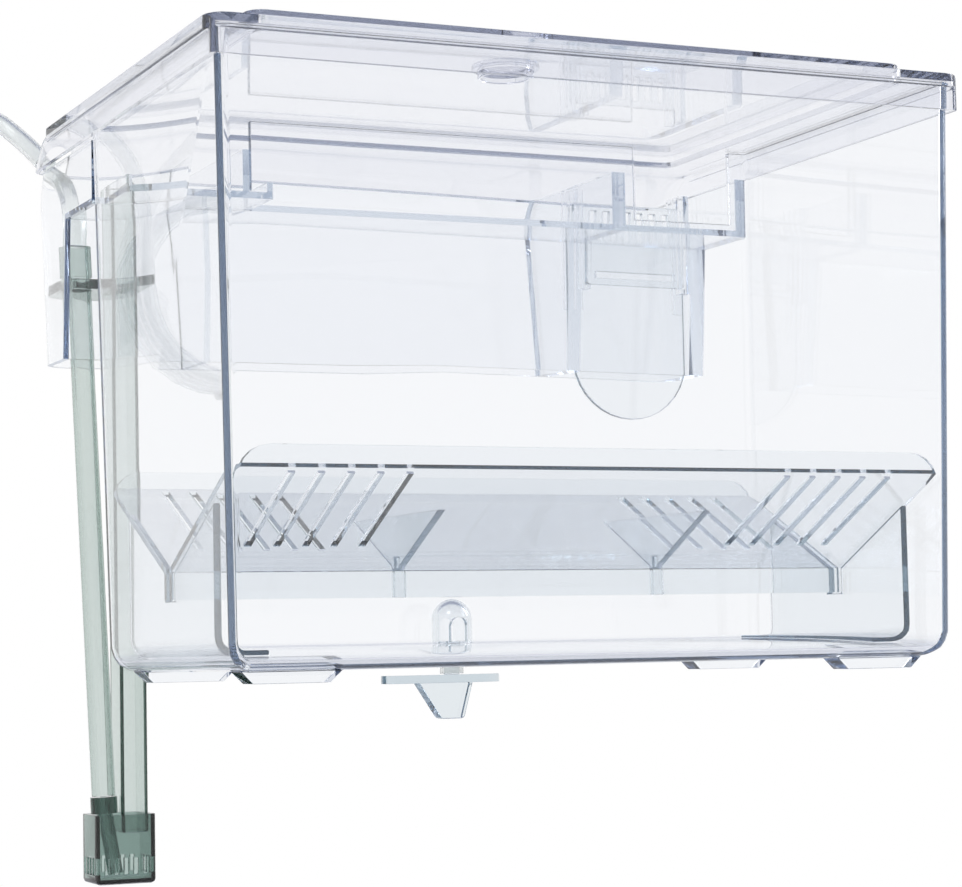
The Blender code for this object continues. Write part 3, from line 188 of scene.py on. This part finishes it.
def clear_material(name, tint, absorbed, density, rough, wave):
    """Clear moulded plastic: tinted by its depth, with the faint flow waves of moulding."""
    made, tree, shader = shader_of(name)
    shader.inputs["Base Color"].default_value = (*tint, 1)
    shader.inputs["Transmission Weight"].default_value = 1
    shader.inputs["IOR"].default_value = ACRYLIC_IOR
    vary_roughness(tree, shader, noise(tree, SHEEN_SCALE, SHEEN_DETAIL), *rough)
    bump(tree, shader, noise(tree, FLOW_SCALE, FLOW_DETAIL, FLOW_STRETCH), wave, FLOW_STRENGTH)
    volume = tree.nodes.new("ShaderNodeVolumeAbsorption")
    volume.inputs["Color"].default_value = (*absorbed, 1)
    volume.inputs["Density"].default_value = density
    output = tree.nodes["Material Output"]
    tree.links.new(volume.outputs["Volume"], output.inputs["Volume"])
    return made


def silicone_material():
    """Soft milky silicone with a fine grain."""
    made, tree, shader = shader_of("silicone")
    shader.inputs["Base Color"].default_value = SILICONE_COLOUR
    shader.inputs["Transmission Weight"].default_value = SILICONE_CLEARNESS
    shader.inputs["IOR"].default_value = SILICONE_IOR
    sheen = noise(tree, SILICONE_SHEEN_SCALE, SILICONE_SHEEN_DETAIL)
    vary_roughness(tree, shader, sheen, *SILICONE_ROUGHNESS)
    grain = noise(tree, SILICONE_GRAIN_SCALE, SILICONE_GRAIN_DETAIL)
    bump(tree, shader, grain, SILICONE_GRAIN, SILICONE_GRAIN_STRENGTH)
    return made


def tie_material():
    """Flat dark plastic with a fine grain."""
    made, tree, shader = shader_of("tie_plastic")
    shader.inputs["Base Color"].default_value = TIE_COLOUR
    vary_roughness(tree, shader, noise(tree, TIE_SHEEN_SCALE, TIE_SHEEN_DETAIL), *TIE_ROUGHNESS)
    bump(tree, shader, noise(tree, TIE_GRAIN_SCALE, TIE_GRAIN_DETAIL), TIE_GRAIN, TIE_GRAIN_STRENGTH)
    return made


# Each clear finish: surface tint, colour left by depth, its density per metre, roughness, wave height
CLEAR = clear_material(
    "clear_plastic", (0.985, 0.987, 0.994), (0.58, 0.66, 0.76), 26, (0.0, 0.03), 0.05 * MM)
INNER = clear_material(
    "inner_plastic", (0.985, 0.988, 0.992), (0.56, 0.66, 0.72), 95, (0.0, 0.04), 0.05 * MM)
LID_CLEAR = clear_material(
    "lid_plastic", (0.93, 0.933, 0.957), (0.62, 0.65, 0.73), 23, (0.0, 0.05), 0.05 * MM)
PALE = clear_material(
    "pale_plastic", (1, 1, 1), (0.44, 0.56, 0.52), 400, (0.02, 0.08), 0.04 * MM)
ELBOW = clear_material(
    "elbow_plastic", (1, 1, 1), (0.50, 0.60, 0.58), 90, (0.02, 0.08), 0.04 * MM)
SMOKE = clear_material(
    "smoky_plastic", (1, 1, 1), (0.34, 0.50, 0.46), 820, (0.04, 0.12), 0.05 * MM)
SILICONE = silicone_material()
TIE = tie_material()


# Pieces: each CAD node is copied with its edges softened
SHARP_ANGLE = radians(38)  # edges that turn by more than this are softened
FLAT_ANGLE = radians(0.6)  # faces that turn by less than this are made one
WELD = 0.002 * MM
ROUNDING_SEGMENTS = 2
FLAT_WEIGHT = 80  # how strongly large faces keep their shading flat
TIE_ROUNDING = 0.25 * MM
# The thin strip of the box's back wall beside its inlet notch is left of, behind and above this place
STRIP_CORNER = Vector((-106.5, -20, -1.5)) * MM

# Finish, slot, and for each node the width of its softened edges in millimetres
DRESS = (
    (LID_CLEAR, "clear_plastic", {"lid": 0.35, "feed_cap": 0.3}),
    (CLEAR, "clear_plastic", {"box_body": 0.45, "rear_hanger": 0.35}),
    (INNER, "clear_plastic", {
        "trough_front_panel": 0.45, "trough_rear_panel": 0.45, "trough_left_end": 0.45,
        "trough_right_end": 0.45, "left_divider": 0.6, "right_divider": 0.6, "outlet_grid": 0.3,
        "outlet_tongue": 0.5, "drain_plug": 0.4, "drain_dome": 0.3}),
    (PALE, "pale_green_plastic", {"lift_tube": 0.2, "air_pipe": 0.2, "tube_clip": 0.25}),
    (ELBOW, "pale_green_plastic", {"air_elbow": 0.2}),
    (SMOKE, "smoky_plastic", {"strainer_cup": 0.25, "air_nozzle": 0.2}),
    (SILICONE, "clear_silicone", {"drain_seal": 0.2}))


def finish_with(thing, finish):
    """Gives a piece its material."""
    thing.data.materials.clear()
    thing.data.materials.append(finish)


def beside_inlet(place):
    """Whether a point is on the strip beside the inlet notch, which is too thin to be softened."""
    return place.x < STRIP_CORNER.x and place.y > STRIP_CORNER.y and place.z > STRIP_CORNER.z


def dressed(node, width, finish):
    """A copy of a CAD node with its edges softened, which takes the node's place."""
    bm = bmesh.new()
    bm.from_mesh(NODES[node].data)
    bmesh.ops.remove_doubles(bm, verts=bm.verts, dist=WELD)
    bmesh.ops.dissolve_limit(bm, angle_limit=FLAT_ANGLE, verts=bm.verts, edges=bm.edges)
    soft = bm.edges.layers.float.new("bevel_weight_edge")
    for edge in bm.edges:
        if edge.calc_face_angle(0) < SHARP_ANGLE:
            continue
        if node == "box_body" and any(beside_inlet(vert.co) for vert in edge.verts):
            edge.smooth = False
        else:
            edge[soft] = 1
    for face in bm.faces:
        face.smooth = True
    mesh = bpy.data.meshes.new(node + "_soft")
    bm.to_mesh(mesh)
    bm.free()
    thing = bpy.data.objects.new(node + "_soft", mesh)
    bpy.context.scene.collection.objects.link(thing)
    rounding = thing.modifiers.new("rounding", "BEVEL")
    rounding.width = width
    rounding.segments = ROUNDING_SEGMENTS
    rounding.limit_method = "WEIGHT"
    flats = thing.modifiers.new("flats", "WEIGHTED_NORMAL")
    flats.weight = FLAT_WEIGHT
    flats.keep_sharp = True
    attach(thing, body_of(NODES[node])[0])
    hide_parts(node)
    finish_with(thing, finish)
    return thing


def make_pieces():
    for finish, slot_name, widths in DRESS:
        for node, width in widths.items():
            dressed(node, width * MM, finish)


# Air line: the same route as the CAD cord, in metres
LINE_RADIUS = 3 * MM
LINE_BORE = 2 * MM
LINE_SIDES = 20
LINE_CREASE = radians(50)  # only the rims of its ends turn by more than this
LINE_STEPS = 3  # between one point of the route and the next
LINE_START = Vector((-104.609, 51, 19)) * MM  # the notch in the hanger's back
LINE_POINTS = [LINE_START + Vector(step) * MM for step in (
    (-2.09, 3.44, 5.49), (-3.8, 7.8, 9.4), (-8.4, 14, 16), (-14.9, 18, 21.8), (-23.9, 20.5, 24),
    (-33.9, 22, 21.5), (-42.4, 23, 14), (-47.9, 23, 2.5), (-49.4, 23, -11), (-49.4, 23, -25.7))]
COIL_TURNS = 4
COIL_RADIUS = 32 * MM
COIL_PITCH = 6.7 * MM
COIL_POINTS = 24
COIL_TAIL = 20 * MM
COIL_LEAD = 6 * MM


def smooth(points, steps):
    """Points on a Catmull-Rom curve through the given ones."""
    ends = [2 * points[0] - points[1], *points, 2 * points[-1] - points[-2]]
    out = []
    for a, b, c, d in zip(ends, ends[1:], ends[2:], ends[3:]):
        for i in range(steps):
            t = i / steps
            out.append(0.5 * (2 * b + (c - a) * t + (2 * a - 5 * b + 4 * c - d) * t * t
                              + (3 * b - a - 3 * c + d) * t ** 3))
    return out + [points[-1]]


def coil_points():
    """The loops: a straight start, a helix and a straight tail."""
    start = LINE_POINTS[-1]
    centre = start + Vector((-COIL_RADIUS, 0, -COIL_LEAD))
    points = []
    for i in range(COIL_TURNS * COIL_POINTS + 1):
        turn = 2 * pi * i / COIL_POINTS
        points.append(centre + Vector(
            (COIL_RADIUS * cos(turn), COIL_PITCH * i / COIL_POINTS, -COIL_RADIUS * sin(turn))))
    points.append(points[-1] + Vector((0, 0, -COIL_TAIL)))
    return points


def hose(name, path, outer, inner):
    """A hollow tube along a path, open at both ends."""
    bm = bmesh.new()
    ahead = [(b - a).normalized() for a, b in zip(path, path[1:])]
    along = [ahead[0]] + [(a + b).normalized() for a, b in zip(ahead, ahead[1:])] + [ahead[-1]]
    side = along[0].orthogonal().normalized()
    rings = {outer: [], inner: []}
    for i, (place, axis) in enumerate(zip(path, along)):
        if i:
            side = along[i - 1].rotation_difference(axis) @ side
        other = axis.cross(side)
        for radius, ring in rings.items():
            ring.append([bm.verts.new(place + radius * (side * cos(a) + other * sin(a)))
                         for a in (2 * pi * k / LINE_SIDES for k in range(LINE_SIDES))])
    for radius, ring in rings.items():
        for a, b in zip(ring, ring[1:]):
            for k in range(LINE_SIDES):
                after = (k + 1) % LINE_SIDES
                face = (a[k], a[after], b[after], b[k])
                bm.faces.new(face if radius == outer else face[::-1])
    for end in (0, -1):
        a, b = rings[outer][end], rings[inner][end]
        for k in range(LINE_SIDES):
            after = (k + 1) % LINE_SIDES
            face = (a[k], b[k], b[after], a[after])
            bm.faces.new(face if end == 0 else face[::-1])
    bmesh.ops.recalc_face_normals(bm, faces=bm.faces)
    mesh = bpy.data.meshes.new(name)
    bm.to_mesh(mesh)
    bm.free()
    thing = bpy.data.objects.new(name, mesh)
    bpy.context.scene.collection.objects.link(thing)
    mesh.shade_smooth()
    mesh.set_sharp_from_angle(angle=LINE_CREASE)
    return thing


def make_air_line():
    """The hose from the hanger to its coil, and the tie round the coil."""
    path = smooth(LINE_POINTS, LINE_STEPS) + coil_points()
    line = hose("air_line", path, LINE_RADIUS, LINE_BORE)
    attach(line, "box")
    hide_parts("airline_run", "airline_coil")
    finish_with(line, SILICONE)
    tie = dressed("coil_tie", TIE_ROUNDING, TIE)


# Studio
WHITE = (1, 1, 1, 1)
FLOOR_DROP = 110 * MM  # below the lowest point of the box
FLOOR_HALF = 4
FLOOR_COLOUR = (0.9, 0.9, 0.9, 1)
FLOOR_ROUGHNESS = 0.9
FLOOR_NEAR = 0.45  # where the floor starts to fade into the backdrop
FLOOR_FAR = 1.1
SKY_LOW = 0.30  # up to this height the backdrop is white
SKY_HIGH = 0.62  # above this height it is grey
SKY_GREY = (0.36, 0.39, 0.50, 1)
LIGHT_COLOUR = (0.68, 0.70, 0.77, 1)
LAMP_TARGET = (0, 0, -0.05)
# Name, place, width and height, and power of each lamp
LAMPS = (
    ("key_lamp", (-0.9, -0.9, 0.9), (0.5, 0.7), 7),
    ("side_lamp", (1.1, -0.3, 0.5), (0.3, 0.8), 4))
BOUNCES = 64
SEE_THROUGH_BOUNCES = 48
TRANSPARENT_BOUNCES = 24


def floor_material():
    """Pale near the object, where its shadow falls, and as white as the backdrop further out."""
    made, tree, shader = shader_of("floor")
    shader.inputs["Base Color"].default_value = FLOOR_COLOUR
    shader.inputs["Roughness"].default_value = FLOOR_ROUGHNESS
    place = tree.nodes.new("ShaderNodeTexCoord")
    reach = tree.nodes.new("ShaderNodeVectorMath")
    reach.operation = "LENGTH"
    tree.links.new(place.outputs["Object"], reach.inputs[0])
    fade = tree.nodes.new("ShaderNodeMapRange")
    fade.inputs["From Min"].default_value = FLOOR_NEAR
    fade.inputs["From Max"].default_value = FLOOR_FAR
    tree.links.new(reach.outputs["Value"], fade.inputs["Value"])
    glow = tree.nodes.new("ShaderNodeEmission")
    mix = tree.nodes.new("ShaderNodeMixShader")
    tree.links.new(fade.outputs["Result"], mix.inputs["Fac"])
    tree.links.new(shader.outputs["BSDF"], mix.inputs[1])
    tree.links.new(glow.outputs["Emission"], mix.inputs[2])
    tree.links.new(mix.outputs["Shader"], tree.nodes["Material Output"].inputs["Surface"])
    return made


def make_floor():
    bm = bmesh.new()
    bmesh.ops.create_grid(bm, x_segments=1, y_segments=1, size=FLOOR_HALF)
    mesh = bpy.data.meshes.new("floor")
    bm.to_mesh(mesh)
    bm.free()
    floor = bpy.data.objects.new("floor", mesh)
    bpy.context.scene.collection.objects.link(floor)
    floor.location.z = CAD_BOUNDS[0][2] - FLOOR_DROP
    floor.data.materials.append(floor_material())


def make_world():
    """An even pale light, and a backdrop that is white all round and grey overhead.

    The camera, the reflections and what is seen through the plastic all show the backdrop.
    """
    world = bpy.data.worlds.new("studio")
    bpy.context.scene.world = world
    world.use_nodes = True
    tree = world.node_tree
    place = tree.nodes.new("ShaderNodeTexCoord")
    split = tree.nodes.new("ShaderNodeSeparateXYZ")
    tree.links.new(place.outputs["Generated"], split.inputs["Vector"])
    ramp = tree.nodes.new("ShaderNodeValToRGB")
    low, high = ramp.color_ramp.elements
    low.position = SKY_LOW
    low.color = WHITE
    high.position = SKY_HIGH
    high.color = SKY_GREY
    tree.links.new(split.outputs["Z"], ramp.inputs["Fac"])
    light = tree.nodes["Background"]
    light.inputs["Color"].default_value = LIGHT_COLOUR
    seen = tree.nodes.new("ShaderNodeBackground")
    tree.links.new(ramp.outputs["Color"], seen.inputs["Color"])
    rays = tree.nodes.new("ShaderNodeLightPath")
    shown = rays.outputs["Is Camera Ray"]
    for kind in ("Is Glossy Ray", "Is Transmission Ray"):
        either = tree.nodes.new("ShaderNodeMath")
        either.operation = "MAXIMUM"
        tree.links.new(shown, either.inputs[0])
        tree.links.new(rays.outputs[kind], either.inputs[1])
        shown = either.outputs["Value"]
    mix = tree.nodes.new("ShaderNodeMixShader")
    tree.links.new(shown, mix.inputs["Fac"])
    tree.links.new(light.outputs["Background"], mix.inputs[1])
    tree.links.new(seen.outputs["Background"], mix.inputs[2])
    tree.links.new(mix.outputs["Shader"], tree.nodes["World Output"].inputs["Surface"])


def make_lamp(name, place, size, power):
    data = bpy.data.lights.new(name, "AREA")
    data.shape = "RECTANGLE"
    data.size, data.size_y = size
    data.energy = power
    lamp = bpy.data.objects.new(name, data)
    bpy.context.scene.collection.objects.link(lamp)
    lamp.location = place
    lamp.rotation_euler = (Vector(LAMP_TARGET) - Vector(place)).to_track_quat("-Z", "Y").to_euler()


def make_studio():
    make_floor()
    make_world()
    for lamp in LAMPS:
        make_lamp(*lamp)
    scene = bpy.context.scene
    scene.view_settings.view_transform = "Standard"
    scene.cycles.max_bounces = BOUNCES
    scene.cycles.transmission_bounces = SEE_THROUGH_BOUNCES
    scene.cycles.glossy_bounces = SEE_THROUGH_BOUNCES
    scene.cycles.transparent_max_bounces = TRANSPARENT_BOUNCES


make_camera()
make_air_line()
make_pieces()
make_studio()
